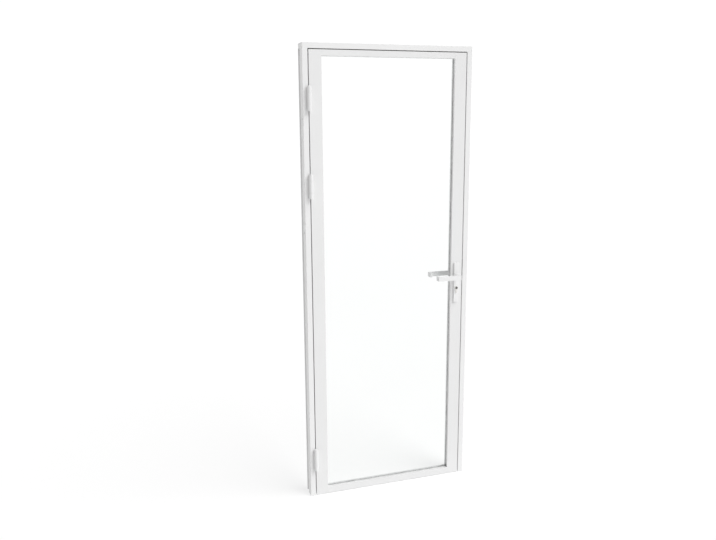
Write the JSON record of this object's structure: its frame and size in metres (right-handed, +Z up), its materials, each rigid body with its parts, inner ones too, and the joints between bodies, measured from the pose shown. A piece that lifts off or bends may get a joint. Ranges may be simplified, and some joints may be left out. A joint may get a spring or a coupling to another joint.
{
  "type": "glass door",
  "caption": "Framed glass door: white aluminium leaf with a clear pane, butt hinges, mortice lock and lever handles, in its own rebated frame.",
  "frame": {"origin": "on the floor, at the middle of the frame's width and of the leaf's thickness, which is also the middle of the depth over the two levers", "axes": "+X from the hinge side to the lock side, +Y from the side the leaf opens to, through the leaf, to the stop side, +Z up"},
  "size_m": [0.8, 0.132, 2.1],
  "materials": {
    "frame_paint": "satin white powder coat",
    "leaf_paint": "satin white powder coat",
    "hinge_paint": "satin white powder coat",
    "handle_paint": "semi-gloss white coating",
    "clear_glass": "clear, polished",
    "rebate_seal": "matte",
    "glazing_gasket": "matte light grey",
    "steel": "brushed",
    "nickel": "satin nickel plated",
    "cast_zinc": "cast, dull",
    "nylon": "matte"
  },
  "bodies": {
    "frame": {"frame_hinge_jamb": "frame_paint", "frame_lock_jamb": "frame_paint", "frame_head": "frame_paint", "head_end_caps": "frame_paint", "frame_corner_cleats": "cast_zinc", "seal_hinge_jamb": "rebate_seal", "seal_lock_jamb": "rebate_seal", "seal_head": "rebate_seal", "strike_plate": "steel", "strike_screws": "steel", "hinge_frame_wing_low": "hinge_paint", "hinge_frame_wing_mid": "hinge_paint", "hinge_frame_wing_top": "hinge_paint", "hinge_pin_low": "hinge_paint", "hinge_pin_mid": "hinge_paint", "hinge_pin_top": "hinge_paint", "hinge_frame_screws": "steel"},
    "leaf": {"leaf_hinge_stile": "leaf_paint", "leaf_lock_stile": "leaf_paint", "leaf_top_rail": "leaf_paint", "leaf_bottom_rail": "leaf_paint", "leaf_corner_cleats": "cast_zinc", "leaf_corner_screws": "steel", "glass_pane": "clear_glass", "setting_blocks": "rebate_seal", "gasket_front": "glazing_gasket", "gasket_back": "glazing_gasket", "bead_left": "leaf_paint", "bead_right": "leaf_paint", "bead_top": "leaf_paint", "bead_bottom": "leaf_paint", "bottom_seal": "glazing_gasket", "hinge_leaf_wing_low": "hinge_paint", "hinge_leaf_wing_mid": "hinge_paint", "hinge_leaf_wing_top": "hinge_paint", "hinge_leaf_screws": "steel", "lock_case": "steel", "lock_cover": "steel", "lock_faceplate": "steel", "lock_tabs": "steel", "faceplate_screws": "steel", "cylinder_body": "nickel", "cylinder_screw": "steel", "plate_front": "handle_paint", "plate_back": "handle_paint", "plate_bolts": "steel", "plate_bushes": "nylon"},
    "handle": {"lever_front": "handle_paint", "lever_back": "handle_paint", "spindle": "steel", "follower": "cast_zinc", "lever_grub_screws": "steel"},
    "latch": {"latch_bolt": "steel"},
    "deadbolt": {"deadbolt": "steel"},
    "cylinder_plug": {"plug_front": "nickel", "plug_back": "nickel", "cylinder_cam": "cast_zinc"}
  },
  "joints": [
    {"name": "leaf_swing", "type": "hinge", "parent": "frame", "child": "leaf", "pos_m": [-0.374, -0.0273, 0], "axis": [0, 0, -1], "range_deg": [0, 105]},
    {"name": "lever_turn", "type": "hinge", "parent": "leaf", "child": "handle", "pos_m": [0.341, 0, 1.033], "axis": [0, -1, 0], "range_deg": [0, 40], "stiffness_Nm_per_rad": 1.2, "springref_deg": -34.38},
    {"name": "latch_slide", "type": "slide", "parent": "leaf", "child": "latch", "axis": [-1, 0, 0], "range_m": [0, 0.01]},
    {"name": "key_turn", "type": "hinge", "parent": "leaf", "child": "cylinder_plug", "pos_m": [0.341, 0, 0.976], "axis": [0, 1, 0], "range_deg": [0, 360]},
    {"name": "deadbolt_throw", "type": "slide", "parent": "leaf", "child": "deadbolt", "axis": [1, 0, 0], "range_m": [0, 0.02]}
  ],
  "couplings": [
    {"joint": "latch_slide", "follows": "lever_turn", "m_per_rad": 0.01432},
    {"joint": "key_turn", "follows": "deadbolt_throw", "rad_per_m": 314.15}
  ]
}
